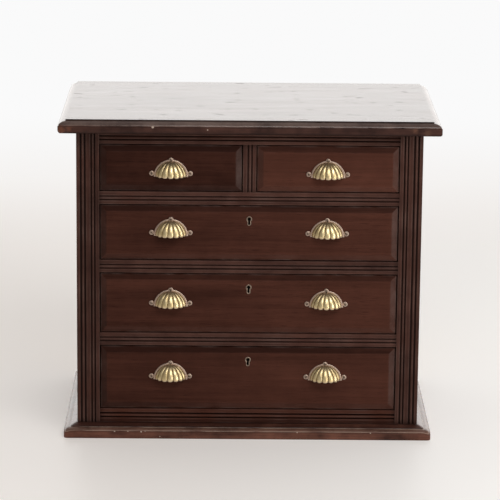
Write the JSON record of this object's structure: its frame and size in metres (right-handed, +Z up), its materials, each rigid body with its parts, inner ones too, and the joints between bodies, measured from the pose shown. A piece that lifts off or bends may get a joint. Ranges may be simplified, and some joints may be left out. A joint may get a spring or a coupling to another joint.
{
  "type": "miniature chest of drawers",
  "caption": "Small dark wooden chest of drawers with short drawers over long ones, a reeded frame, moulded top and base, fluted brass cup pulls and brass keyhole rims.",
  "frame": {"origin": "middle of the underside of the base board's bounding box, on the surface the chest stands on", "axes": "+X to the chest's right as seen from the front, -Y out of the drawer fronts, +Z up"},
  "size_m": [0.481, 0.286, 0.415],
  "materials": {
    "mahogany": "dark red-brown polished mahogany, worn lighter along the arrises, near black in the grooves",
    "pine": "plain unpolished softwood, slightly aged",
    "brass": "polished cast brass with dull brown patina in the hollows",
    "steel": "dull filed steel"
  },
  "bodies": {
    "carcass": {"top_board": "mahogany", "base_board": "mahogany", "side_panel_left": "mahogany", "side_panel_right": "mahogany", "stile_left": "mahogany", "stile_right": "mahogany", "top_rail": "mahogany", "rail_upper": "mahogany", "rail_middle": "mahogany", "rail_lower": "mahogany", "bottom_rail": "mahogany", "centre_divider": "mahogany", "back_panel": "pine", "back_screws": "steel", "drawer_runners": "pine", "drawer_guides": "pine", "kickers": "pine", "drawer_stops": "pine"},
    "short_drawer_left": {"drawer_left_front": "mahogany", "drawer_left_sides": "pine", "drawer_left_back": "pine", "drawer_left_bottom": "pine", "drawer_left_handle": "brass", "drawer_left_handle_screws": "brass"},
    "short_drawer_right": {"drawer_right_front": "mahogany", "drawer_right_sides": "pine", "drawer_right_back": "pine", "drawer_right_bottom": "pine", "drawer_right_handle": "brass", "drawer_right_handle_screws": "brass"},
    "upper_drawer": {"drawer_upper_front": "mahogany", "drawer_upper_sides": "pine", "drawer_upper_back": "pine", "drawer_upper_bottom": "pine", "drawer_upper_handle_left": "brass", "drawer_upper_handle_right": "brass", "drawer_upper_handle_screws": "brass", "drawer_upper_escutcheon": "brass", "drawer_upper_lock_case": "steel"},
    "upper_lock_bolt": {"drawer_upper_lock_bolt": "steel"},
    "middle_drawer": {"drawer_middle_front": "mahogany", "drawer_middle_sides": "pine", "drawer_middle_back": "pine", "drawer_middle_bottom": "pine", "drawer_middle_handle_left": "brass", "drawer_middle_handle_right": "brass", "drawer_middle_handle_screws": "brass", "drawer_middle_escutcheon": "brass", "drawer_middle_lock_case": "steel"},
    "middle_lock_bolt": {"drawer_middle_lock_bolt": "steel"},
    "lower_drawer": {"drawer_lower_front": "mahogany", "drawer_lower_sides": "pine", "drawer_lower_back": "pine", "drawer_lower_bottom": "pine", "drawer_lower_handle_left": "brass", "drawer_lower_handle_right": "brass", "drawer_lower_handle_screws": "brass", "drawer_lower_escutcheon": "brass", "drawer_lower_lock_case": "steel"},
    "lower_lock_bolt": {"drawer_lower_lock_bolt": "steel"}
  },
  "joints": [
    {"name": "short_drawer_left_slide", "type": "slide", "parent": "carcass", "child": "short_drawer_left", "axis": [0, -1, 0], "range_m": [0, 0.16]},
    {"name": "short_drawer_right_slide", "type": "slide", "parent": "carcass", "child": "short_drawer_right", "axis": [0, -1, 0], "range_m": [0, 0.16]},
    {"name": "upper_drawer_slide", "type": "slide", "parent": "carcass", "child": "upper_drawer", "axis": [0, -1, 0], "range_m": [0, 0.16]},
    {"name": "middle_drawer_slide", "type": "slide", "parent": "carcass", "child": "middle_drawer", "axis": [0, -1, 0], "range_m": [0, 0.16]},
    {"name": "lower_drawer_slide", "type": "slide", "parent": "carcass", "child": "lower_drawer", "axis": [0, -1, 0], "range_m": [0, 0.16]},
    {"name": "upper_bolt_slide", "type": "slide", "parent": "upper_drawer", "child": "upper_lock_bolt", "axis": [0, 0, 1], "range_m": [0, 0.005]},
    {"name": "middle_bolt_slide", "type": "slide", "parent": "middle_drawer", "child": "middle_lock_bolt", "axis": [0, 0, 1], "range_m": [0, 0.005]},
    {"name": "lower_bolt_slide", "type": "slide", "parent": "lower_drawer", "child": "lower_lock_bolt", "axis": [0, 0, 1], "range_m": [0, 0.005]}
  ]
}
